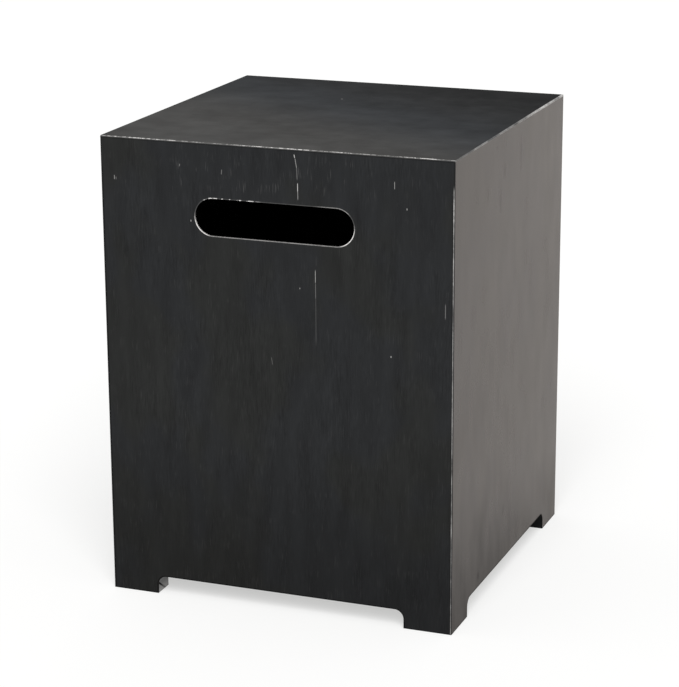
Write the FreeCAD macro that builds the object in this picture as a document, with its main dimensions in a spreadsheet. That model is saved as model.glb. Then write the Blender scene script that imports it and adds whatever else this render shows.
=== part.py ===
import FreeCAD, Part
import math
import os

import Sketcher

from FreeCAD import Placement, Rotation, Vector

# Square sheet-iron cover that stands over a propane tank and serves as a side table.
# Origin on the floor under the middle of the cover, +Z up, the front faces -Y, millimetres.

SIZES = {
    "coverWidth": (387.35, "outside, along X"),
    "coverDepth": (387.35, "outside, along Y"),
    "coverHeight": (501.65, "floor to table top"),
    "sheetGauge": (1.5, "thickness of the top and the four walls"),
    "edgeRound": (0.8, "ground radius on the outer edges of the box"),
    "slotLength": (175.0, "hand slot, end to end"),
    "slotHeight": (39.4, "hand slot, also twice its end radius"),
    "slotDrop": (77.6, "table top down to the middle of the hand slot"),
    "footWidth": (52.7, "outer corner to the side of a cut-out"),
    "cutoutRise": (20.0, "floor to the top of a cut-out"),
    "cutoutCorner": (10.0, "radius in the upper corners of a cut-out"),
    "liningReach": (25.4, "outer face of a wall to the inner edge of its lining"),
    "liningGauge": (1.5, "thickness of the lining strip"),
    "weldLeg": (3.0, "leg of a fillet bead"),
    "weldLength": (25.0, "length of a stitch in a corner or top seam"),
    "stripWeldLength": (20.0, "length of a stitch over a lining"),
    "legWeldLength": (6.0, "length of a stitch beside a foot"),
    "cornerWeldCount": (5, "stitches in one corner seam"),
    "topWeldCount": (4, "stitches in one top seam"),
    "stripWeldCount": (4, "stitches over one lining"),
}

# Each wall is drawn as the front one and turned about Z to its place.
# The front and back walls fit between the two side walls, whose edges show at the corners.
WALLS = {
    "front": {"turn": 0, "across": "dims.coverWidth", "reach": "dims.coverDepth", "fitsBetween": True},
    "right": {"turn": 90, "across": "dims.coverDepth", "reach": "dims.coverWidth", "fitsBetween": False},
    "back": {"turn": 180, "across": "dims.coverWidth", "reach": "dims.coverDepth", "fitsBetween": True},
    "left": {"turn": 270, "across": "dims.coverDepth", "reach": "dims.coverWidth", "fitsBetween": False},
}

# Corners: which way along X and Y, and the turn that faces a bead into the box.
CORNERS = {
    "front_left": {"x": -1, "y": -1, "turn": 0},
    "front_right": {"x": 1, "y": -1, "turn": 90},
    "back_right": {"x": 1, "y": 1, "turn": 180},
    "back_left": {"x": -1, "y": 1, "turn": 270},
}

# A cylinder sector fills the quarter between its local X and Y. These turns lay its axis along X.
UNDER_TOP = Rotation(Vector(0, 1, 0), Vector(0, 0, -1), Vector(-1, 0, 0), "XYZ")
OVER_STRIP = Rotation(Vector(0, 1, 0), Vector(0, 0, 1), Vector(1, 0, 0), "XYZ")

INNER_WIDTH = "(dims.coverWidth - 2 * dims.sheetGauge)"
INNER_DEPTH = "(dims.coverDepth - 2 * dims.sheetGauge)"
WALL_HEIGHT = "(dims.coverHeight - dims.sheetGauge)"
# A thin sheet can't take the full radius, so it stops at 0.9 of the gauge.
EDGE_ROUND = "min(dims.edgeRound; 0.9 * dims.sheetGauge)"

# Two lengths closer than this are taken as equal.
NEAR = 0.01

doc = FreeCAD.newDocument("tank_cover")


def makeSheet():
    sheet = doc.addObject("Spreadsheet::Sheet", "dims")
    for row, (name, (value, note)) in enumerate(SIZES.items(), start=1):
        sheet.set(f"A{row}", name)
        sheet.set(f"B{row}", str(value))
        sheet.set(f"C{row}", note)
        sheet.setAlias(f"B{row}", name)
    doc.recompute()
    return sheet


sheet = makeSheet()


def aboutZ(turn):
    return Placement(Vector(0, 0, 0), Rotation(Vector(0, 0, 1), turn))


def makeBody(label, turn=0):
    body = doc.addObject("PartDesign::Body", label)
    body.Label = label
    body.Placement = aboutZ(turn)
    return body


def makeSketch(body, role, offset):
    plane = next(item for item in body.Origin.OriginFeatures if item.Role == role)
    sketch = body.newObject("Sketcher::SketchObject", body.Name + "_sketch")
    sketch.AttachmentSupport = [(plane, "")]
    sketch.MapMode = "FlatFace"
    sketch.setExpression("AttachmentOffset.Base.z", offset)
    return sketch


def addLines(sketch, points):
    for start, end in zip(points, points[1:]):
        sketch.addGeometry(Part.LineSegment(Vector(*start, 0), Vector(*end, 0)), False)


def addArc(sketch, centre, radius, startDeg, endDeg):
    circle = Part.Circle(Vector(*centre, 0), Vector(0, 0, 1), radius)
    sketch.addGeometry(Part.ArcOfCircle(circle, math.radians(startDeg), math.radians(endDeg)), False)


def constrain(sketch, kind, *refs):
    return sketch.addConstraint(Sketcher.Constraint(kind, *refs))


def drive(sketch, name, kind, refs, expression):
    # A named driving dimension. It starts at the drawn size and follows its expression.
    index = constrain(sketch, kind, *refs)
    sketch.renameConstraint(index, name)
    sketch.setExpression("Constraints." + name, expression)


def padSketch(body, sketch, length):
    pad = body.newObject("PartDesign::Pad", body.Name + "_pad")
    pad.Profile = sketch
    pad.setExpression("Length", length)
    body.Tip = pad
    doc.recompute()
    return pad


def roundEdges(body, base, chosen):
    names = [f"Edge{i}" for i, edge in enumerate(base.Shape.Edges, start=1) if chosen(edge)]
    fillet = body.newObject("PartDesign::Fillet", body.Name + "_edges")
    fillet.Base = (base, names)
    fillet.setExpression("Radius", EDGE_ROUND)
    body.Tip = fillet
    doc.recompute()


def archPoints(width, rise, corner, grow):
    # Points of one side of the arch round a cut-out, grown outwards by a thickness.
    side = width / 2
    return {
        "foot": (side + grow, 0),
        "spring": (side + grow, rise - corner),
        "crown": (side - corner, rise + grow),
        "centre": (side - corner, rise - corner),
    }


def mirrored(point):
    return (-point[0], point[1])


def makeTopPanel():
    # Lies on the upper edges of the four walls, its own edges flush with their outer faces.
    body = makeBody("top_panel")
    sketch = makeSketch(body, "XY_Plane", "dims.coverHeight - dims.sheetGauge")
    x = sheet.coverWidth / 2
    y = sheet.coverDepth / 2
    addLines(sketch, [(-x, -y), (x, -y), (x, y), (-x, y), (-x, -y)])
    for line in range(4):
        constrain(sketch, "Coincident", line, 2, (line + 1) % 4, 1)
    constrain(sketch, "Horizontal", 0)
    constrain(sketch, "Horizontal", 2)
    constrain(sketch, "Vertical", 1)
    constrain(sketch, "Vertical", 3)
    constrain(sketch, "Symmetric", 0, 1, 2, 1, -1, 1)
    drive(sketch, "width", "DistanceX", (0, 1, 0, 2, 2 * x), "dims.coverWidth")
    drive(sketch, "depth", "DistanceY", (1, 1, 1, 2, 2 * y), "dims.coverDepth")
    pad = padSketch(body, sketch, "dims.sheetGauge")
    underside = sheet.coverHeight - sheet.sheetGauge
    roundEdges(body, pad, lambda edge: edge.BoundBox.ZMax > underside + sheet.sheetGauge / 2)
    return body


def drawWall(body, wall, span):
    # Outline with the cut-out between the feet. The sketch lies in XZ with its normal to -Y.
    sketch = makeSketch(body, "XZ_Plane", f"{wall['reach']} / 2 - dims.sheetGauge")
    across = sheet.coverWidth if wall["across"] == "dims.coverWidth" else sheet.coverDepth
    half = across / 2 - (sheet.sheetGauge if wall["fitsBetween"] else 0)
    top = sheet.coverHeight - sheet.sheetGauge
    width = across - 2 * sheet.footWidth
    arch = archPoints(width, sheet.cutoutRise, sheet.cutoutCorner, 0)
    addLines(sketch, [(-half, 0), mirrored(arch["foot"]), mirrored(arch["spring"])])
    addArc(sketch, mirrored(arch["centre"]), sheet.cutoutCorner, 90, 180)
    addLines(sketch, [mirrored(arch["crown"]), arch["crown"]])
    addArc(sketch, arch["centre"], sheet.cutoutCorner, 0, 90)
    addLines(sketch, [arch["spring"], arch["foot"], (half, 0), (half, top), (-half, top), (-half, 0)])
    constrain(sketch, "Coincident", 0, 2, 1, 1)
    constrain(sketch, "Tangent", 1, 2, 2, 2)
    constrain(sketch, "Tangent", 2, 1, 3, 1)
    constrain(sketch, "Tangent", 3, 2, 4, 2)
    constrain(sketch, "Tangent", 4, 1, 5, 1)
    for line in range(5, 9):
        constrain(sketch, "Coincident", line, 2, line + 1, 1)
    constrain(sketch, "Coincident", 9, 2, 0, 1)
    for line in (0, 3, 8):
        constrain(sketch, "Horizontal", line)
    for line in (1, 5, 7, 9):
        constrain(sketch, "Vertical", line)
    constrain(sketch, "Equal", 2, 4)
    constrain(sketch, "PointOnObject", 0, 1, -1)
    constrain(sketch, "Symmetric", 0, 1, 6, 2, -2)
    constrain(sketch, "Symmetric", 0, 2, 6, 1, -2)
    drive(sketch, "span", "DistanceX", (0, 1, 6, 2, 2 * half), span)
    drive(sketch, "height", "DistanceY", (7, 1, 7, 2, top), WALL_HEIGHT)
    drive(sketch, "opening", "DistanceX", (0, 2, 6, 1, width), f"{wall['across']} - 2 * dims.footWidth")
    drive(sketch, "rise", "DistanceY", (0, 2, 3, 1, sheet.cutoutRise), "dims.cutoutRise")
    drive(sketch, "corner", "Radius", (2, sheet.cutoutCorner), "dims.cutoutCorner")
    return sketch


def cutHandSlot(body):
    # Full-radius slot. It is cut both ways from the middle of the box, and the far side is air.
    sketch = makeSketch(body, "XZ_Plane", "0")
    radius = sheet.slotHeight / 2
    run = sheet.slotLength / 2 - radius
    level = sheet.coverHeight - sheet.slotDrop
    addLines(sketch, [(-run, level + radius), (run, level + radius)])
    addArc(sketch, (run, level), radius, -90, 90)
    addLines(sketch, [(run, level - radius), (-run, level - radius)])
    addArc(sketch, (-run, level), radius, 90, 270)
    constrain(sketch, "Tangent", 0, 2, 1, 2)
    constrain(sketch, "Tangent", 1, 1, 2, 1)
    constrain(sketch, "Tangent", 2, 2, 3, 2)
    constrain(sketch, "Tangent", 3, 1, 0, 1)
    constrain(sketch, "Horizontal", 0)
    constrain(sketch, "Symmetric", 3, 3, 1, 3, -2)
    drive(sketch, "end", "Radius", (1, radius), "dims.slotHeight / 2")
    drive(sketch, "run", "DistanceX", (3, 3, 1, 3, 2 * run), "dims.slotLength - dims.slotHeight")
    drive(sketch, "level", "DistanceY", (-1, 1, 1, 3, level), "dims.coverHeight - dims.slotDrop")
    before = body.Shape.Volume
    pocket = body.newObject("PartDesign::Pocket", body.Name + "_slot")
    pocket.Profile = sketch
    pocket.Type = 1  # through all
    pocket.Midplane = True
    body.Tip = pocket
    doc.recompute()
    hole = (math.pi * radius * radius + 4 * run * radius) * sheet.sheetGauge
    if abs(before - body.Shape.Volume - hole) > NEAR * hole:
        raise RuntimeError(f"{body.Label}: the hand slot isn't cut right")


def makeWall(name, wall, hasSlot):
    body = makeBody(name + "_panel", wall["turn"])
    span = f"{wall['across']} - 2 * dims.sheetGauge" if wall["fitsBetween"] else wall["across"]
    sketch = drawWall(body, wall, span)
    pad = padSketch(body, sketch, "dims.sheetGauge")
    if not wall["fitsBetween"]:
        half = sheet.coverDepth / 2
        face = -sheet.coverWidth / 2

        def onOuterCorner(edge):
            box = edge.BoundBox
            atEnd = abs(abs(box.XMin) - half) < NEAR and box.XLength < NEAR
            return atEnd and abs(box.YMin - face) < NEAR and box.YLength < NEAR

        roundEdges(body, pad, onOuterCorner)
    if hasSlot:
        cutHandSlot(body)
    return body


def makeLining(name, wall):
    # Flat strip bent round the cut-out, behind the wall and flush with the cut edge.
    body = makeBody(name + "_lining", wall["turn"])
    sketch = makeSketch(body, "XZ_Plane", f"{wall['reach']} / 2 - dims.liningReach")
    across = sheet.coverWidth if wall["across"] == "dims.coverWidth" else sheet.coverDepth
    width = across - 2 * sheet.footWidth
    gauge = sheet.liningGauge
    inner = archPoints(width, sheet.cutoutRise, sheet.cutoutCorner, 0)
    outer = archPoints(width, sheet.cutoutRise, sheet.cutoutCorner, gauge)
    for points, radius in ((inner, sheet.cutoutCorner), (outer, sheet.cutoutCorner + gauge)):
        addLines(sketch, [mirrored(points["foot"]), mirrored(points["spring"])])
        addArc(sketch, points["centre"], radius, 0, 90)
        addLines(sketch, [mirrored(points["crown"]), points["crown"]])
        addArc(sketch, mirrored(points["centre"]), radius, 90, 180)
        addLines(sketch, [points["spring"], points["foot"]])
    addLines(sketch, [mirrored(inner["foot"]), mirrored(outer["foot"])])
    addLines(sketch, [inner["foot"], outer["foot"]])
    for first in (0, 5):
        legLeft, arcRight, crown, arcLeft, legRight = range(first, first + 5)
        constrain(sketch, "Tangent", legLeft, 2, arcLeft, 2)
        constrain(sketch, "Tangent", arcLeft, 1, crown, 1)
        constrain(sketch, "Tangent", crown, 2, arcRight, 2)
        constrain(sketch, "Tangent", arcRight, 1, legRight, 1)
        constrain(sketch, "Vertical", legLeft)
        constrain(sketch, "Vertical", legRight)
        constrain(sketch, "Horizontal", crown)
    constrain(sketch, "Coincident", 1, 3, 6, 3)
    constrain(sketch, "Coincident", 3, 3, 8, 3)
    for end, innerLeg, outerLeg, atFoot in ((10, 0, 5, 1), (11, 4, 9, 2)):
        constrain(sketch, "Coincident", end, 1, innerLeg, atFoot)
        constrain(sketch, "Coincident", end, 2, outerLeg, atFoot)
        constrain(sketch, "Horizontal", end)
    constrain(sketch, "PointOnObject", 0, 1, -1)
    constrain(sketch, "Symmetric", 0, 1, 4, 2, -2)
    constrain(sketch, "Equal", 1, 3)
    drive(sketch, "opening", "DistanceX", (0, 1, 4, 2, width), f"{wall['across']} - 2 * dims.footWidth")
    drive(sketch, "rise", "DistanceY", (0, 1, 2, 1, sheet.cutoutRise), "dims.cutoutRise")
    drive(sketch, "corner", "Radius", (3, sheet.cutoutCorner), "dims.cutoutCorner")
    drive(sketch, "gauge", "DistanceX", (11, 1, 11, 2, gauge), "dims.liningGauge")
    padSketch(body, sketch, "dims.liningReach - dims.sheetGauge")
    return body


def makeBead(name, length, rotation, x, y, z):
    # A quarter-round stitch of weld. Its two flat faces lie on the pieces that it joins.
    bead = doc.addObject("Part::Cylinder", name)
    bead.Angle = 90
    bead.Placement = Placement(Vector(0, 0, 0), rotation)
    bead.setExpression("Radius", "dims.weldLeg")
    bead.setExpression("Height", length)
    bead.setExpression("Placement.Base.x", x)
    bead.setExpression("Placement.Base.y", y)
    bead.setExpression("Placement.Base.z", z)
    return bead


def makeSeam(label, beads, turn=0):
    seam = doc.addObject("Part::Compound", label)
    seam.Label = label
    seam.Links = beads
    seam.Placement = aboutZ(turn)
    doc.recompute()
    return seam


def station(index, count, run, length):
    # Where an evenly spaced stitch starts, measured from the middle of the run.
    return f"(({index} + 0.5) / dims.{count} - 0.5) * {run} - {length} / 2"


def makeCornerSeam(name, corner):
    beads = []
    for i in range(int(sheet.cornerWeldCount)):
        rotation = Rotation(Vector(0, 0, 1), corner["turn"])
        x = f"{corner['x']} * {INNER_WIDTH} / 2"
        y = f"{corner['y']} * {INNER_DEPTH} / 2"
        z = f"{WALL_HEIGHT} / 2 + {station(i, 'cornerWeldCount', WALL_HEIGHT, 'dims.weldLength')}"
        beads.append(makeBead(f"{name}_bead{i}", "dims.weldLength", rotation, x, y, z))
    return makeSeam(name + "_corner_weld", beads)


def makeTopSeam(name, wall):
    beads = []
    run = f"({wall['across']} - 2 * dims.sheetGauge)"
    inner = f"-({wall['reach']} / 2 - dims.sheetGauge)"
    for i in range(int(sheet.topWeldCount)):
        # The bead's axis points to -X, so it starts at the far end of its stitch.
        x = f"dims.weldLength + {station(i, 'topWeldCount', run, 'dims.weldLength')}"
        beads.append(makeBead(f"{name}_top_bead{i}", "dims.weldLength", UNDER_TOP, x, inner, WALL_HEIGHT))
    return makeSeam(name + "_top_weld", beads, wall["turn"])


def makeLiningSeam(name, wall):
    beads = []
    opening = f"({wall['across']} - 2 * dims.footWidth)"
    crown = f"({opening} - 2 * dims.cutoutCorner)"
    inner = f"-({wall['reach']} / 2 - dims.sheetGauge)"
    over = "dims.cutoutRise + dims.liningGauge"
    for i in range(int(sheet.stripWeldCount)):
        x = station(i, "stripWeldCount", crown, "dims.stripWeldLength")
        beads.append(makeBead(f"{name}_strip_bead{i}", "dims.stripWeldLength", OVER_STRIP, x, inner, over))
    start = "(dims.cutoutRise - dims.cutoutCorner - dims.legWeldLength) / 2"
    for side, turn in ((1, 0), (-1, 90)):
        x = f"{side} * ({opening} / 2 + dims.liningGauge)"
        rotation = Rotation(Vector(0, 0, 1), turn)
        beads.append(makeBead(f"{name}_leg_bead{turn}", "dims.legWeldLength", rotation, x, inner, start))
    return makeSeam(name + "_lining_weld", beads, wall["turn"])


def checkModel(subparts):
    for item in doc.Objects:
        if "Invalid" in item.State or "Error" in item.State:
            raise RuntimeError(f"{item.Label} failed: {item.State}")
    for item in subparts:
        if item.Shape.isNull() or not item.Shape.isValid():
            raise RuntimeError(f"{item.Label} has no valid shape")


subparts = [makeTopPanel()]
for wallName, wall in WALLS.items():
    subparts.append(makeWall(wallName, wall, hasSlot=wall["fitsBetween"]))
    subparts.append(makeLining(wallName, wall))
    subparts.append(makeTopSeam(wallName, wall))
    subparts.append(makeLiningSeam(wallName, wall))
for cornerName, corner in CORNERS.items():
    subparts.append(makeCornerSeam(cornerName, corner))
doc.recompute()
checkModel(subparts)

os.makedirs("parts", exist_ok=True)
for item in subparts:
    item.Shape.exportStep(f"parts/{item.Label}.step")
    box = item.Shape.BoundBox
    print(
        f"{item.Label}: {len(item.Shape.Solids)} solids, {item.Shape.Volume:.1f} mm3, "
        f"x {box.XMin:.2f} {box.XMax:.2f}, y {box.YMin:.2f} {box.YMax:.2f}, z {box.ZMin:.2f} {box.ZMax:.2f}"
    )
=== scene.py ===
import math

import bpy
from mathutils import Matrix, Vector


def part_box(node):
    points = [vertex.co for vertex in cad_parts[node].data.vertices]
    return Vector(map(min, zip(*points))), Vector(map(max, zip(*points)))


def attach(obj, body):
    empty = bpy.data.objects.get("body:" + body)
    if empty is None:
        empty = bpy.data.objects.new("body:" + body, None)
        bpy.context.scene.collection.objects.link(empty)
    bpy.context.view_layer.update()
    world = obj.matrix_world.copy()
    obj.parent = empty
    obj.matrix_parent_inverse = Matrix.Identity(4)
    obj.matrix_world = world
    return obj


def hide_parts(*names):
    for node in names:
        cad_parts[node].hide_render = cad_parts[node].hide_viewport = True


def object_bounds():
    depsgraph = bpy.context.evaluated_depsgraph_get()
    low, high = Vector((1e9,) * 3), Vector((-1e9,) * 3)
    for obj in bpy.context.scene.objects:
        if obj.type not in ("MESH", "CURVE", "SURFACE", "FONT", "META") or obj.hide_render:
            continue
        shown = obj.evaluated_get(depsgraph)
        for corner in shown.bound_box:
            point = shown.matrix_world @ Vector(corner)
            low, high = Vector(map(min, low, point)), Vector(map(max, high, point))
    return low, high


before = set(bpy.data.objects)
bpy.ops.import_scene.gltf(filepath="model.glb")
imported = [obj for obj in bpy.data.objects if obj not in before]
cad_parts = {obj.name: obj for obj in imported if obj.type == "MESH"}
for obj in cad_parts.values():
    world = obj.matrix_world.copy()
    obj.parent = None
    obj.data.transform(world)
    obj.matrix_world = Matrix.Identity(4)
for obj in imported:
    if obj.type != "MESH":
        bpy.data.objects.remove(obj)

# Square welded sheet-iron cover for a propane tank, used as a side table. Metres, floor at z 0.
cadBox = [list(corner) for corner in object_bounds()]
half = cadBox[1][0]             # outer faces stand at plus and minus this, in x and in y
tableTop = cadBox[1][2]
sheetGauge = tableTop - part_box("top_panel")[0].z
innerFace = half - sheetGauge
wallTop = tableTop - sheetGauge


def heading(turnDegrees, liftDegrees):          # from the cover towards the camera or the sun
    turn, lift = math.radians(turnDegrees), math.radians(liftDegrees)
    return Vector((math.sin(turn) * math.cos(lift), -math.cos(turn) * math.cos(lift), math.sin(lift)))


# The camera of the photo, fitted to the corners of the box.
cameraPlan = {
    "azimuth": 21.06,           # degrees round from the front, towards the right
    "elevation": 16.13,
    "roll": -0.301,
    "place": (0.9102, -2.3730, 0.9784),
    "lens": 124.85,
    "sensor": 36.0,
}


def aimCamera(plan):
    turn, roll = math.radians(plan["azimuth"]), math.radians(plan["roll"])
    back = heading(plan["azimuth"], plan["elevation"])
    right = Vector((math.cos(turn), math.sin(turn), 0))
    up = back.cross(right)
    rolledRight = right * math.cos(roll) + up * math.sin(roll)
    rolledUp = up * math.cos(roll) - right * math.sin(roll)
    cameraData = bpy.data.cameras.new("camera")
    cameraData.lens = plan["lens"]
    cameraData.sensor_width = plan["sensor"]
    camera = bpy.data.objects.new("camera", cameraData)
    bpy.context.scene.collection.objects.link(camera)
    axes = Matrix((rolledRight, rolledUp, back)).transposed()
    camera.matrix_world = Matrix.Translation(plan["place"]) @ axes.to_4x4()
    bpy.context.scene.camera = camera


aimCamera(cameraPlan)
print("camera placed")


class Wire:                     # a socket that can be used in sums
    def __init__(self, recipe, socket):
        self.recipe = recipe
        self.socket = socket

    def maths(self, operation, first, second):
        return self.recipe.node("ShaderNodeMath", {"operation": operation}, {0: first, 1: second})

    def __add__(self, other):
        return self.maths("ADD", self, other)

    def __radd__(self, other):
        return self.maths("ADD", other, self)

    def __sub__(self, other):
        return self.maths("SUBTRACT", self, other)

    def __rsub__(self, other):
        return self.maths("SUBTRACT", other, self)

    def __mul__(self, other):
        return self.maths("MULTIPLY", self, other)

    def __rmul__(self, other):
        return self.maths("MULTIPLY", other, self)

    def __abs__(self):
        return self.maths("ABSOLUTE", self, 0.0)

    def least(self, other):
        return self.maths("MINIMUM", self, other)

    def most(self, other):
        return self.maths("MAXIMUM", self, other)

    def step(self, low, high, lowValue=0.0, highValue=1.0):     # smooth from one level to another
        settings = {"interpolation_type": "SMOOTHSTEP"}
        sockets = {"Value": self, "From Min": low, "From Max": high}
        sockets.update({"To Min": lowValue, "To Max": highValue})
        return self.recipe.node("ShaderNodeMapRange", settings, sockets)


class Recipe:                   # the node tree of one material or of the world
    def __init__(self, tree):
        self.tree = tree
        tree.nodes.clear()

    def node(self, kind, settings=None, sockets=None, out=0):
        made = self.tree.nodes.new(kind)
        for key, value in (settings or {}).items():
            setattr(made, key, value)
        for key, value in (sockets or {}).items():
            if isinstance(value, Wire):
                self.tree.links.new(value.socket, made.inputs[key])
            else:
                made.inputs[key].default_value = value
        return Wire(self, made.outputs[out])

    def outputs(self, kind, names, sockets=None):       # several outputs of one node
        first = self.node(kind, None, sockets, names[0])
        return [Wire(self, first.socket.node.outputs[name]) for name in names]

    def close(self, kind, surface):             # the output node of a material or the world
        made = self.tree.nodes.new(kind)
        self.tree.links.new(surface.socket, made.inputs["Surface"])

    def blend(self, factor, first, second):     # two colours
        sockets = {"Factor": factor, 6: first, 7: second}
        return self.node("ShaderNodeMix", {"data_type": "RGBA"}, sockets, 2)

    def scaled(self, colour, gain):             # a colour made lighter or darker by a number
        return self.node("ShaderNodeVectorMath", {"operation": "SCALE"}, {0: colour, "Scale": gain})

    def seen(self):                             # 1 for a ray that looks, 0 for a ray that lights
        rays = ("Is Camera Ray", "Is Glossy Ray", "Is Transmission Ray")
        direct, mirrored, through = self.outputs("ShaderNodeLightPath", rays)
        return direct.most(mirrored).most(through)

    def root(self, value):
        return self.node("ShaderNodeMath", {"operation": "SQRT"}, {0: value})

    def noise(self, where, scale, detail=2.0, roughness=0.5):
        sockets = {"Vector": where, "Scale": scale, "Detail": detail, "Roughness": roughness}
        return self.node("ShaderNodeTexNoise", None, sockets)

    def stretched(self, where, size):           # coordinates divided by the size of a mark
        sockets = {"Vector": where, "Scale": [1 / length for length in size]}
        return self.node("ShaderNodeMapping", None, sockets)


def newMaterial(name):
    material = bpy.data.materials.new(name)
    material.use_nodes = True
    return material, Recipe(material.node_tree)


# White floor and plain soft light.
studioPlan = {
    "floorSize": 60.0,
    "floorDrop": 0.0003,        # keeps the floor off the undersides of the feet
    "floorColour": (0.90, 0.90, 0.90, 1),       # for the light that it throws back
    "floorSeen": (0.49, 0.49, 0.49, 1),         # for the eye, which also sees a glow
    "glowColour": (1.0, 1.0, 0.99, 1),
    "noGlow": (0.0, 0.0, 0.0, 1),
    "glow": 0.54,
    "glowEnds": (half - 0.032, half - 0.064),   # the floor's glow fades out from here inwards, a painted shade of the cover on the floor
    "glowShift": 0.016,         # further in at the front, where a low eye sees under the cover
    "sunTurn": 20.0,            # from the front right, so the long shadow falls behind the cover
    "sunLift": 46.0,
    "sunStrength": 2.4,
    "sunSize": 42.0,
    "studio": (0.45, 0.45, 0.45, 1),            # what the surroundings light the cover with
    "backdrop": (1.0, 1.0, 1.0, 1),             # and how they look
}


def makeFloor(plan):
    bpy.ops.object.select_all(action="DESELECT")
    bpy.ops.mesh.primitive_plane_add(size=plan["floorSize"], location=(0, 0, -plan["floorDrop"]))
    bpy.ops.object.transform_apply(location=True)
    floor = bpy.context.object
    floor.name = "floor"
    material, recipe = newMaterial("white_floor")
    seen = recipe.seen()
    below = recipe.node("ShaderNodeNewGeometry", out="Backfacing")      # clear when seen from below
    matt = recipe.node("ShaderNodeBsdfDiffuse", None, {"Color": plan["floorColour"]})
    paler = recipe.node("ShaderNodeBsdfDiffuse", None, {"Color": plan["floorSeen"]})
    place = recipe.node("ShaderNodeTexCoord", out="Object")
    x, y = recipe.outputs("ShaderNodeSeparateXYZ", ("X", "Y"), {0: place})
    fromMiddle = (abs(x) - plan["glowShift"]).most(abs(y - plan["glowShift"]))
    # the glow goes to black under the cover: painted shade on the floor
    floorShadeUnderCover = fromMiddle.step(*plan["glowEnds"])
    glowColour = recipe.blend(floorShadeUnderCover, plan["glowColour"], plan["noGlow"])
    glow = recipe.node("ShaderNodeEmission", None, {"Color": glowColour, "Strength": plan["glow"]})
    shown = recipe.node("ShaderNodeAddShader", None, {0: paler, 1: glow})
    surface = recipe.node("ShaderNodeMixShader", None, {0: seen, 1: matt, 2: shown})
    clear = recipe.node("ShaderNodeBsdfTransparent")
    surface = recipe.node("ShaderNodeMixShader", None, {0: below, 1: surface, 2: clear})
    recipe.close("ShaderNodeOutputMaterial", surface)
    floor.data.materials.append(material)


def makeSun(plan):
    lamp = bpy.data.lights.new("sun", "SUN")
    lamp.energy = plan["sunStrength"]
    lamp.angle = math.radians(plan["sunSize"])
    sun = bpy.data.objects.new("sun", lamp)
    bpy.context.scene.collection.objects.link(sun)
    towards = heading(plan["sunTurn"], plan["sunLift"])
    sun.matrix_world = towards.to_track_quat("Z", "Y").to_matrix().to_4x4()


def makeWorld(plan):
    world = bpy.data.worlds.new("studio")
    world.use_nodes = True
    bpy.context.scene.world = world
    recipe = Recipe(world.node_tree)
    sky = recipe.blend(recipe.seen(), plan["studio"], plan["backdrop"])
    background = recipe.node("ShaderNodeBackground", None, {"Color": sky, "Strength": 1.0})
    recipe.close("ShaderNodeOutputWorld", background)


makeFloor(studioPlan)
makeSun(studioPlan)
makeWorld(studioPlan)
bpy.context.scene.view_settings.view_transform = "Standard"
print("studio lit")


# All pieces are the same iron under a burnished black, brushed differently.
paintPlan = {
    "black": (0.0187, 0.0196, 0.0193, 1),
    "blueBlack": (0.0185, 0.0198, 0.0214, 1),
    "warmBlack": (0.0207, 0.0205, 0.0201, 1),
    "iron": (0.88, 0.86, 0.84, 1),              # where the black has worn off, and for a painted highlight and a painted reflection
    "dirtAndShade": (0.004, 0.004, 0.004, 1),          # matt dark for darker seams, and painted shade along edges, cut-outs, feet, linings and low on the walls
    "toneSize": (0.08, 0.08, 0.12),             # patches of blue black in the black
    "toneStep": (0.42, 0.56),
    "patchStep": (0.38, 0.66, 0.35, 1.25),      # streaks fade in some patches and are strong in others
    "bumpDepth": 0.0002,
}

# The size in metres of one streak along x, y and z, how strong the streaks are, and the gloss.
grainPlan = {
    "front": {
        "fine": (0.0010, 0.0010, 0.013), "broad": (0.014, 0.014, 0.070),
        "patch": (0.030, 0.030, 0.045), "fineGain": 1.00, "broadGain": 0.34,
        "bump": 0.12, "roughness": 0.28, "broadSheen": 0.08,
        "metallic": 0.6, "specular": 0.19, "tint": (1.0, 0.94, 0.89, 1),
    },
    "side": {
        "fine": (0.0060, 0.0060, 0.040), "broad": (0.022, 0.022, 0.060),
        "patch": (0.050, 0.050, 0.080), "fineGain": 0.04, "broadGain": 0.06,
        "bump": 0.0, "roughness": 0.25, "broadSheen": 0.12,
        "metallic": 0.67, "specular": 0.19, "tint": (1.0, 0.930, 0.885, 1),
    },
    "top": {
        "fine": (0.030, 0.0016, 0.0016), "broad": (0.060, 0.060, 0.060),
        "patch": (0.080, 0.050, 0.050), "fineGain": 0.50, "broadGain": 0.36,
        "bump": 0.02, "roughness": 0.30, "broadSheen": 0.08,
        "metallic": 0.13, "specular": 0.0, "tint": (0.47, 0.465, 0.46, 1),
    },
    "inside": {
        "fine": (0.0012, 0.0012, 0.040), "broad": (0.020, 0.020, 0.120),
        "patch": (0.040, 0.040, 0.060), "fineGain": 0.70, "broadGain": 0.40,
        "bump": 0.1, "roughness": 0.13, "broadSheen": 0.06,
        "metallic": 0.7, "specular": 0.50, "tint": (1.0, 1.0, 1.0, 1),
    },
}
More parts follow.
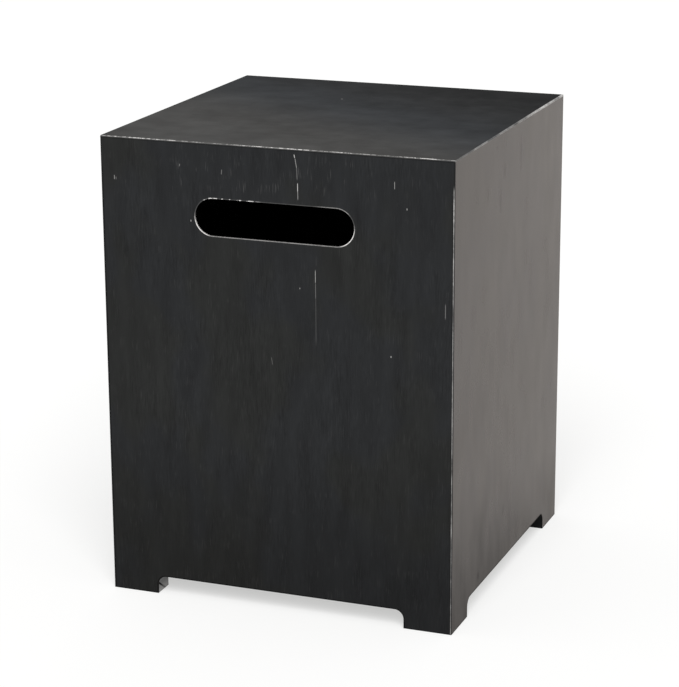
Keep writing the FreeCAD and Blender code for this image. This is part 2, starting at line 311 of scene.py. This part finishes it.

# The outer edges that are knocked and rubbed bright, and how bright each is. The right top edge also
# has a painted highlight that widens towards the back.
edgePlan = {
    "width": 0.0009,
    "chipSize": (0.0032, 0.0032, 0.0032),
    "chipped": (0.42, 0.58, 0.20, 1.0),         # breaks a bright line into dashes
    "rubbed": (0.38, 0.62, 0.65, 1.0),          # or only makes it uneven
    "runSize": (0.026, 0.026, 0.026),
    "runs": (0.36, 0.60, 0.40, 1.0),            # long stretches that are brighter or fainter
    "frontTop": 0.80,
    "rightTop": 0.70,
    "rightTopHighlightWidths": (0.0006, 0.0022),         # on the top, at the front and at the back; the widening is a painted highlight of the bent edge
    "rightTopSoft": 0.0004,
    "rightTopDepth": (-0.0020, -0.0015),        # how far it reaches down, from the table top
    "rightTopHighlightFade": (0.12, 0.02, 1.0, 0.50),    # brightest at the back, in y, as a painted highlight
    "frontRight": 0.55,
    "cornerRound": 0.0007,      # the rounded outer corner of a side sheet stays black
    "gaugeSoft": 0.0002,        # the line ends at the inner face of that sheet
    "rightHalf": (0.0, 0.1),
    "frontRightTop": (0.478, 0.460),            # no bright line above this height
    "frontRightRise": (0.340, 0.410, 0.85, 1.75),       # and brightest just below it
    "spare": 0.10,              # sparse wear on all other edges
    "spareChips": (0.62, 0.68),
    "dirtAndShade": 0.45,              # and the painted shade along them
}


class Coat:                     # one finish while its marks are laid on
    def __init__(self, name, grain):
        self.grain = grain
        self.material, self.recipe = newMaterial(name)
        self.place = self.recipe.node("ShaderNodeTexCoord", out="Object")
        parts = self.recipe.outputs("ShaderNodeSeparateXYZ", ("X", "Y", "Z"), {0: self.place})
        self.x, self.y, self.z = parts
        self.fine = self.speckle(grain["fine"], detail=3.0, roughness=0.6)
        self.broad = self.speckle(grain["broad"])
        patch = self.speckle(grain["patch"]).step(*paintPlan["patchStep"])
        streaks = (self.fine - 0.5) * patch * grain["fineGain"]
        self.gain = 1 + streaks + (self.broad - 0.5) * (2 * grain["broadGain"])
        self.roughness = grain["roughness"] + (self.broad - 0.5) * grain["broadSheen"]
        self.metallic = grain["metallic"]
        self.tone = self.speckle(paintPlan["toneSize"]).step(*paintPlan["toneStep"])
        self.black = paintPlan["black"]
        self.chips = self.speckle(edgePlan["chipSize"], detail=3.0, roughness=0.7)
        self.wornAndLit = self.edgeWearAndHighlight()

    def speckle(self, size, detail=2.0, roughness=0.5):
        return self.recipe.noise(self.recipe.stretched(self.place, size), 1.0, detail, roughness)

    def edgeWearAndHighlight(self):
        # how far a point lies inside each outer face, as a number below zero. A line's soft sides are
        # shares of its width.
        plan, width, corner = edgePlan, edgePlan["width"], edgePlan["cornerRound"]
        fromFront, fromRight, fromTop = -half - self.y, self.x - half, self.z - tableTop
        insetX, insetY = abs(self.x) - half, abs(self.y) - half
        chipped = self.chips.step(*plan["chipped"])
        rubbed = self.chips.step(*plan["rubbed"])
        runs = self.speckle(plan["runSize"]).step(*plan["runs"])

        frontTop = fromFront.least(fromTop).step(-width, -0.3 * width) * plan["frontTop"] * chipped

        # the right top edge: rubbed, and widened towards the back as a painted highlight of the bent
        # edge
        wide = self.y.step(-half, half, *plan["rightTopHighlightWidths"])
        rightTop = (fromRight + wide).step(0.0, plan["rightTopSoft"])
        rightTop = rightTop * fromTop.step(*plan["rightTopDepth"])
        rightTop = rightTop * self.y.step(*plan["rightTopHighlightFade"]) * plan["rightTop"] * rubbed

        frontRight = fromFront.step(-0.6 * width, -0.1 * width) * fromRight.step(-0.6 * corner, -corner)
        frontRight = frontRight * fromRight.step(-sheetGauge - plan["gaugeSoft"], -sheetGauge)
        frontRight = frontRight * self.x.step(*plan["rightHalf"]) * self.z.step(*plan["frontRightTop"])
        frontRight = frontRight * self.z.step(*plan["frontRightRise"]) * plan["frontRight"] * rubbed

        bright = frontTop.most(rightTop).most(frontRight)
        anyEdge = insetX.least(insetY).most(insetX.most(insetY).least(fromTop))
        brightEdges = fromFront.least(fromRight).most(fromFront.least(fromTop))
        brightEdges = brightEdges.most(fromRight.least(fromTop))
        # the other outer edges: a dark line of painted shade, and sparse wear
        plain = anyEdge.step(-1.4 * width, -0.7 * width) * brightEdges.step(-2.0 * width, -3.0 * width)
        self.dirtAndShade = plain * plan["dirtAndShade"]
        spare = plain * self.chips.step(*plan["spareChips"]) * plan["spare"]
        return (bright * runs).most(spare)

    def darken(self, mask, share):
        self.gain = self.gain * (1 - mask * share)

    # lays on the matt dark: in seams, and as painted shade in most other places
    def addDirtAndShade(self, mask):
        self.dirtAndShade = self.dirtAndShade.most(mask)

    # lays on bright iron: wear, and the painted highlight of the right top edge and the painted
    # reflection on the front left lining
    def addWearAndLight(self, mask):
        self.wornAndLit = self.wornAndLit.most(mask)

    def finish(self):
        recipe, grain = self.recipe, self.grain
        paint = recipe.blend(self.tone, self.black, paintPlan["blueBlack"])
        colour = recipe.blend(self.wornAndLit, recipe.scaled(paint, self.gain), paintPlan["iron"])
        bump = recipe.node("ShaderNodeBump", None, {
            "Strength": grain["bump"],
            "Distance": paintPlan["bumpDepth"],
            "Height": self.fine,
        })
        skin = recipe.node("ShaderNodeBsdfPrincipled", None, {
            "Base Color": colour,
            "Roughness": self.roughness,
            "Metallic": self.metallic,
            "Normal": bump,
            "Specular IOR Level": grain["specular"],
            "Specular Tint": grain["tint"],
        })
        # the matt dark of seams and of painted shade
        dirtAndShadeSkin = recipe.node("ShaderNodeBsdfDiffuse", None, {"Color": paintPlan["dirtAndShade"]})
        coated = recipe.node("ShaderNodeMixShader", None, {0: self.dirtAndShade, 1: skin, 2: dirtAndShadeSkin})
        recipe.close("ShaderNodeOutputMaterial", coated)
        return self.material


# Painted shade along the cut-outs between the feet, and under the feet.
cutoutPlan = {
    "side": 0.1410,             # middle of a wall to the side of its cut-out
    "rise": 0.0200,
    "corner": 0.0100,
    "width": 0.0016,            # of the painted shade
    "sole": (0.00144, 0.00064),         # heights at which the painted shade under a foot ends and is full
    "share": 0.75,
}


def shadeCutout(coat, across, plan):
    beyondSide = (abs(across) - (plan["side"] - plan["corner"])).most(0.0)
    beyondRise = (coat.z - (plan["rise"] - plan["corner"])).most(0.0)
    fromCorner = coat.recipe.root(beyondSide * beyondSide + beyondRise * beyondRise)
    atEdge = (fromCorner - plan["corner"]).step(plan["width"], 0.5 * plan["width"])
    onSole = coat.z.step(*plan["sole"])
    coat.addDirtAndShade(atEdge.most(onSole) * plan["share"])


# The hand slot, and how bright its rim is rubbed.
slotPlan = {
    "drop": 0.0776,             # table top to the middle of the slot
    "run": 0.0678,              # middle of the slot to the middle of its round end
    "radius": 0.0197,
    "rimWidth": 0.0011,
    "upper": 0.07,
    "lower": 0.38,
    "lowerFrom": (0.006, -0.012),       # heights above the middle of the slot
    "upperFrom": (0.012, 0.016),
    "lowerArcs": 0.90,                  # added at the two lower arcs
    "arcsFrom": (0.002, 0.010),         # how far outside the straight run
    "upperRight": 0.26,                 # added at the right end of the upper edge
    "upperRightFrom": (0.040, 0.060),
    "dots": 1.00,                       # a few bright dots at the left end of the upper edge
    "dotsFrom": (-0.010, -0.030),
    "dotChips": (0.51, 0.56),
    "broken": (0.38, 0.56, 0.65, 1.0),
}


def rubSlotRim(coat, plan):
    x, above = coat.x, coat.z - (tableTop - plan["drop"])
    beyond = (abs(x) - plan["run"]).most(0.0)
    toLine = coat.recipe.root(beyond * beyond + above * above)
    rim = abs(toLine - plan["radius"]).step(plan["rimWidth"], 0.3 * plan["rimWidth"])
    low = above.step(*plan["lowerFrom"])
    high = above.step(*plan["upperFrom"])
    level = plan["upper"] + low * (plan["lower"] - plan["upper"])
    level = level + low * beyond.step(*plan["arcsFrom"]) * plan["lowerArcs"]
    level = level + high * x.step(*plan["upperRightFrom"]) * plan["upperRight"]
    dots = high * x.step(*plan["dotsFrom"]) * coat.chips.step(*plan["dotChips"]) * plan["dots"]
    broken = coat.chips.step(*plan["broken"])
    coat.addWearAndLight((rim * (level * broken).most(dots)).least(1.0))


# Upright ticks in a band above the hand slot, and a few elsewhere.
tickPlan = {
    "size": (0.0008, 0.0008, 0.0180),
    "sharp": (0.56, 0.74),
    "cluster": (0.016, 0.016, 0.018),
    "clustered": (0.45, 0.60),
    "low": (0.446, 0.458),              # the band starts and is full at these places
    "high": (0.497, 0.487),
    "left": (-0.130, -0.100),
    "right": (0.120, 0.090),
    "inBand": 0.042,
    "elsewhere": 0.012,
}


def tickMarks(coat, plan):
    tall = coat.z.step(*plan["low"]) * coat.z.step(*plan["high"])
    wide = coat.x.step(*plan["left"]) * coat.x.step(*plan["right"])
    ticks = coat.speckle(plan["size"], detail=1.0).step(*plan["sharp"])
    patches = coat.speckle(plan["cluster"]).step(*plan["clustered"])
    level = plan["elsewhere"] + tall * wide * (plan["inBand"] - plan["elsewhere"])
    coat.addWearAndLight(ticks * patches * level)


# Scratches and nicks on the front: x, z, half width, half length, lean and strength.
scratchPlan = [
    (0.0234, 0.4942, 0.00055, 0.0020, -0.200, 0.62),    # the long one bends over at its upper end
    (0.0249, 0.4870, 0.00045, 0.0060, -0.168, 0.34),
    (0.0259, 0.4765, 0.00045, 0.0075, -0.056, 0.15),
    (0.0266, 0.4622, 0.00045, 0.0052, -0.009, 0.68),
    (0.0267, 0.4560, 0.00045, 0.0075, -0.009, 0.33),
    (0.0451, 0.3710, 0.00045, 0.0080, 0.0, 0.38),
    (0.0452, 0.3560, 0.00045, 0.0100, 0.0, 0.15),
    (0.0453, 0.3250, 0.00060, 0.0300, 0.0, 0.05),
    (-0.1785, 0.4583, 0.00045, 0.0026, 0.0, 0.35),
    (-0.1766, 0.4575, 0.00040, 0.0018, 0.0, 0.20),
    (-0.1038, 0.4763, 0.00060, 0.0016, 0.1, 0.18),
    (-0.0569, 0.4723, 0.00050, 0.0030, 0.1, 0.18),
    (0.1305, 0.4720, 0.00050, 0.0045, 0.0, 0.30),
    (0.1436, 0.4487, 0.00060, 0.0012, 0.0, 0.35),
    (-0.0923, 0.4187, 0.00070, 0.0012, 0.0, 0.32),
    (0.0280, 0.3572, 0.00070, 0.0010, 0.0, 0.24),
    (0.1269, 0.2943, 0.00080, 0.0011, 0.0, 0.35),
    (0.1846, 0.3470, 0.00060, 0.0090, 0.0, 0.15),
    (-0.0039, 0.2768, 0.00050, 0.0045, -0.15, 0.09),
]


def scratchFront(coat, plan):
    onFront = coat.y.step(-0.8 * half, -half)           # the back wall has the same paint
    for atX, atZ, wide, long, lean, strength in plan:
        across = abs(coat.x - atX - (coat.z - atZ) * lean).step(wide, 0.3 * wide)
        along = abs(coat.z - atZ).step(long, 0.6 * long)
        coat.addWearAndLight(across * along * onFront * strength)


# Darker seams beside the front and over it, and painted shade that darkens the front towards the floor.
frontPlan = {
    "seam": (innerFace - 0.0011, innerFace - 0.0003),
    "seamTop": (0.478, 0.460),
    "seamDark": 0.8,
    "topSeam": (wallTop - 0.0014, wallTop - 0.0006),
    "topSeamDark": 0.4,
    "paintedShadeBelow": (0.24, 0.02),
    "paintedShade": 0.40,
}


def makeFrontPaint(plan):
    coat = Coat("burnished_black_front", grainPlan["front"])
    rubSlotRim(coat, slotPlan)
    tickMarks(coat, tickPlan)
    scratchFront(coat, scratchPlan)
    shadeCutout(coat, coat.x, cutoutPlan)
    coat.addDirtAndShade(abs(coat.x).step(*plan["seam"]) * coat.z.step(*plan["seamTop"]) * plan["seamDark"])
    coat.addDirtAndShade(coat.z.step(*plan["topSeam"]) * plan["topSeamDark"])
    # painted shade, darker towards the floor
    coat.darken(coat.z.step(*plan["paintedShadeBelow"]), plan["paintedShade"])
    return coat.finish()


# Soft duller patches on the right wall: y, z, half width, half height and how matt.
smudgePlan = [
    (-0.0566, 0.4859, 0.006, 0.012, 0.04),
    (-0.0273, 0.4569, 0.007, 0.014, 0.06),
    (-0.0850, 0.4420, 0.006, 0.016, 0.06),
    (-0.0420, 0.4280, 0.007, 0.018, 0.05),
    (0.0300, 0.4620, 0.005, 0.034, 0.05),
    (-0.0164, 0.0770, 0.006, 0.010, 0.07),
    (-0.1043, 0.0324, 0.007, 0.007, 0.10),
]


# How a side wall changes from place to place, by height and by depth, which is the place in y.
sidePlan = {
    "roughHeight": (0.40, 0.10),        # rougher low down, at the front
    "roughDepth": (0.10, -0.10),
    "rough": 0.05,
    "footHeight": (0.15, 0.0),          # painted shade low on the wall, most at the front foot, blotched
    "footDepth": (0.16, -0.12, 0.62, 1.0),
    "footShade": 0.28,
    "footShadeBlotch": 0.26,
    "paintedShadeHeight": (0.45, 0.20),         # a little painted shade low down, at the back
    "paintedShadeDepth": (-0.08, 0.10),
    "paintedShade": 0.08,
    "frontEdge": (0.0022, 0.0012),      # a dark line of painted shade on the rounded corner beside the front edge
    "frontEdgeShade": 0.25,
}


def makeSidePaint(plan):
    coat = Coat("burnished_black_side", grainPlan["side"])
    onRight = coat.x.step(0.8 * half, half)             # the left wall has the same paint
    for atY, atZ, wide, high, matt in smudgePlan:
        patch = abs(coat.y - atY).step(wide, 0.0) * abs(coat.z - atZ).step(high, 0.0)
        coat.roughness = coat.roughness + patch * onRight * matt
    rougher = coat.z.step(*plan["roughHeight"]) * coat.y.step(*plan["roughDepth"])
    coat.roughness = coat.roughness + rougher * plan["rough"]
    low = coat.z.step(*plan["footHeight"]) * coat.y.step(*plan["footDepth"])
    coat.addDirtAndShade(low * (plan["footShade"] + coat.broad * plan["footShadeBlotch"]))
    coat.addDirtAndShade(coat.z.step(*plan["paintedShadeHeight"]) * coat.y.step(*plan["paintedShadeDepth"]) * plan["paintedShade"])
    coat.addDirtAndShade((coat.y + half).step(*plan["frontEdge"]) * plan["frontEdgeShade"])
    shadeCutout(coat, coat.y, cutoutPlan)
    return coat.finish()


# The top is rubbed paler towards its front left corner, in clouds, and has one bright speck.
topPlan = {
    "leftward": 0.55,           # how much the left counts beside the front
    "usedFrom": (-0.24, 0.24),
    "usedGain": 2.6, "usedRough": 0.20, "usedMetal": 0.26,
    "cloudSize": (0.030, 0.028, 0.028),
    "cloudGain": 0.6, "cloudRough": 0.08, "cloudMetal": 0.18,
    "warmFront": (0.85, 0.35),          # blue black in the middle, warm black in front
    "warmBack": (0.0, 0.35, 0.55, 1.0),
    "speck": (-0.0313, 0.0837),
    "speckSize": (0.0014, 0.0004),
    "speckWear": 0.35,
}


def makeTopPaint(plan):
    coat = Coat("burnished_black_top", grainPlan["top"])
    used = (coat.y * -1.0 - coat.x * plan["leftward"]).step(*plan["usedFrom"])
    clouds = coat.speckle(plan["cloudSize"], detail=4.0, roughness=0.6) - 0.5
    coat.gain = coat.gain * (1 + used * plan["usedGain"]) * (1 + clouds * plan["cloudGain"])
    coat.roughness = coat.roughness + used * plan["usedRough"] + clouds * plan["cloudRough"]
    coat.metallic = coat.metallic + used * plan["usedMetal"] + clouds * plan["cloudMetal"]
    coat.tone = used.step(*plan["warmFront"]) * used.step(*plan["warmBack"])
    coat.black = paintPlan["warmBlack"]
    speckX, speckY = plan["speck"]
    fromSpeck = abs(coat.x - speckX).most(abs(coat.y - speckY))
    coat.addWearAndLight(fromSpeck.step(*plan["speckSize"]) * plan["speckWear"])
    return coat.finish()


# The front left lining carries a painted reflection low down, painted shade from its bend upwards, and
# one slanting painted shadow.
liningPlan = {
    "atLeft": (-0.120, -0.135),
    "atFront": (-0.155, -0.165),
    "floorReflectionHeight": (0.016, 0.002),
    "floorReflection": 0.22,
    "bendHeight": (0.009, 0.015),
    "bendShade": 0.35,
    "shadowLineHeight": 0.0123,              # at the face of the wall
    "shadowLineFall": 0.70,
    "shadowLineWidth": (0.0019, 0.0007),
    "shadowLineFade": (0.016, 0.004, 0.45, 0.95),
    "atBack": (0.10, 0.12),             # the rear linings are darkened with painted shade
    "backShade": 0.75,
}


def makeInsidePaint(plan):
    coat = Coat("burnished_black_inside", grainPlan["inside"])
    onLining = coat.x.step(*plan["atLeft"]) * coat.y.step(*plan["atFront"])
    coat.addWearAndLight(coat.z.step(*plan["floorReflectionHeight"]) * onLining * plan["floorReflection"])
    coat.addDirtAndShade(coat.z.step(*plan["bendHeight"]) * onLining * plan["bendShade"])
    fromFace = coat.y + half
    fromShadowLine = abs(coat.z - plan["shadowLineHeight"] + fromFace * plan["shadowLineFall"])
    coat.addDirtAndShade(fromShadowLine.step(*plan["shadowLineWidth"]) * fromFace.step(*plan["shadowLineFade"]) * onLining)
    coat.addDirtAndShade(coat.y.step(*plan["atBack"]) * plan["backShade"])
    return coat.finish()


def dress(nodeName, material):
    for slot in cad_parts[nodeName].material_slots:
        slot.material = material


frontPaint, sidePaint = makeFrontPaint(frontPlan), makeSidePaint(sidePlan)
topPaint, insidePaint = makeTopPaint(topPlan), makeInsidePaint(liningPlan)
panelPaints = {
    "front_panel": frontPaint,
    "back_panel": frontPaint,
    "left_panel": sidePaint,
    "right_panel": sidePaint,
    "top_panel": topPaint,
}
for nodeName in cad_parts:
    dress(nodeName, panelPaints.get(nodeName, insidePaint))
print("sheets painted")


# Weld stitches: a quarter-round bead with the ripples of its molten pool.
beadPlan = {
    "leg": 0.0030,
    "ripple": 0.0016,           # length of one ripple
    "dip": 0.84,                # size of the bead in the hollow between two ripples
    "endSize": 0.60,            # size at each end, where the pool started and stopped
    "cup": 0.0009,              # how far the middle of a ripple runs ahead of its sides
    "sides": 24,                # of the full circle, of which the bead is a quarter
    "crown": 0.4,               # points beyond this share of the leg both ways run ahead
    "smooth": 60,               # degrees
    "near": 0.0005,             # stitches that lie closer than this are one
    "upright": 0.0045,          # one that is shorter than this along its seam stands upright
}


def makeMasterBead(length, plan):
    # the corner lies on the z axis, the two flat faces in x 0 and y 0
    bpy.ops.object.select_all(action="DESELECT")
    bpy.ops.mesh.primitive_circle_add(vertices=plan["sides"], radius=plan["leg"], fill_type="NGON")
    bead = bpy.context.object
    bpy.ops.object.mode_set(mode="EDIT")
    for normal in ((1, 0, 0), (0, 1, 0)):
        bpy.ops.mesh.select_all(action="SELECT")
        bpy.ops.mesh.bisect(plane_co=(0, 0, 0), plane_no=normal, clear_inner=True)
    bpy.ops.mesh.select_all(action="DESELECT")
    bpy.ops.object.mode_set(mode="OBJECT")
    for vertex in bead.data.vertices:
        vertex.select = min(vertex.co.x, vertex.co.y) > plan["crown"] * plan["leg"]
    bpy.ops.object.mode_set(mode="EDIT")
    bpy.ops.transform.translate(value=(0, 0, plan["cup"]))
    bpy.ops.mesh.select_all(action="SELECT")
    size = plan["endSize"]
    bpy.ops.transform.resize(value=(size, size, 1), center_override=(0, 0, 0))
    rings = 2 * round(length / plan["ripple"])              # a crest and a hollow for each ripple
    for ring in range(1, rings + 1):
        wanted = 1.0 if ring % 2 else plan["dip"]
        if ring == rings:
            wanted = plan["endSize"]
        step = (length - plan["cup"]) / rings
        bpy.ops.mesh.extrude_region_move(TRANSFORM_OT_translate={"value": (0, 0, step)})
        bpy.ops.transform.resize(value=(wanted / size, wanted / size, 1), center_override=(0, 0, 0))
        size = wanted
    bpy.ops.mesh.select_all(action="SELECT")
    bpy.ops.mesh.normals_make_consistent(inside=False)
    bpy.ops.object.mode_set(mode="OBJECT")
    bpy.ops.object.shade_smooth_by_angle(angle=math.radians(plan["smooth"]))
    return bead


def stitchBoxes(nodeName, axis):
    # the corners of each stitch of a seam. The stitches lie one after another along the axis.
    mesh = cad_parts[nodeName].data
    places = [[mesh.vertices[i].co[axis] for i in face.vertices] for face in mesh.polygons]
    spans = []
    for low, high in sorted((min(values), max(values)) for values in places):
        if spans and low <= spans[-1][1] + beadPlan["near"]:
            spans[-1][1] = max(spans[-1][1], high)
        else:
            spans.append([low, high])
    boxes = []
    for low, high in spans:
        points = [vertex.co for vertex in mesh.vertices if low <= vertex.co[axis] <= high]
        lowest = Vector([min(point[i] for point in points) for i in range(3)])
        highest = Vector([max(point[i] for point in points) for i in range(3)])
        boxes.append((lowest, highest))
    return boxes


def placeBead(master, low, high, axis, inward=None):
    # the corner of a seam is on the outer side of its box, but towards the middle along the inward axis
    corner, arms = low.copy(), []
    for i in range(3):
        if i != axis:
            onHighSide = (low[i] + high[i] > (tableTop if i == 2 else 0)) != (i == inward)
            corner[i] = high[i] if onHighSide else low[i]
            arms.append(Vector([(-1.0 if onHighSide else 1.0) * (k == i) for k in range(3)]))
    along = arms[0].cross(arms[1])
    if along[axis] < 0:
        corner[axis] = high[axis]
    turned = Matrix((arms[0], arms[1], along)).transposed().to_4x4()
    mesh = master.data.copy()
    mesh.transform(Matrix.Translation(corner) @ turned)
    bead = bpy.data.objects.new("bead", mesh)
    bpy.context.scene.collection.objects.link(bead)
    return bead


def makeStitches(nodeName, masters, material):
    side = nodeName.split("_")[0]
    along = 2 if "_corner_" in nodeName else (0 if side in ("front", "back") else 1)
    beads = []
    for low, high in stitchBoxes(nodeName, along):
        besideFoot = high[along] - low[along] < beadPlan["upright"]
        axis = 2 if besideFoot else along
        length = high[axis] - low[axis]
        key = round(length * 1000)
        if key not in masters:
            masters[key] = makeMasterBead(length, beadPlan)
        beads.append(placeBead(masters[key], low, high, axis, along if besideFoot else None))
    bpy.ops.object.select_all(action="DESELECT")
    for bead in beads:
        bead.select_set(True)
    bpy.context.view_layer.objects.active = beads[0]
    bpy.ops.object.join()
    piece = bpy.context.object
    piece.name = nodeName.replace("_weld", "_stitches")
    piece.data.materials.clear()
    piece.data.materials.append(material)
    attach(piece, "root")
    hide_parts(nodeName)


masterBeads = {}
for nodeName in sorted(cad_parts):
    if nodeName.endswith("_weld"):
        makeStitches(nodeName, masterBeads, insidePaint)
for master in masterBeads.values():
    bpy.data.objects.remove(master)
print("seams stitched")
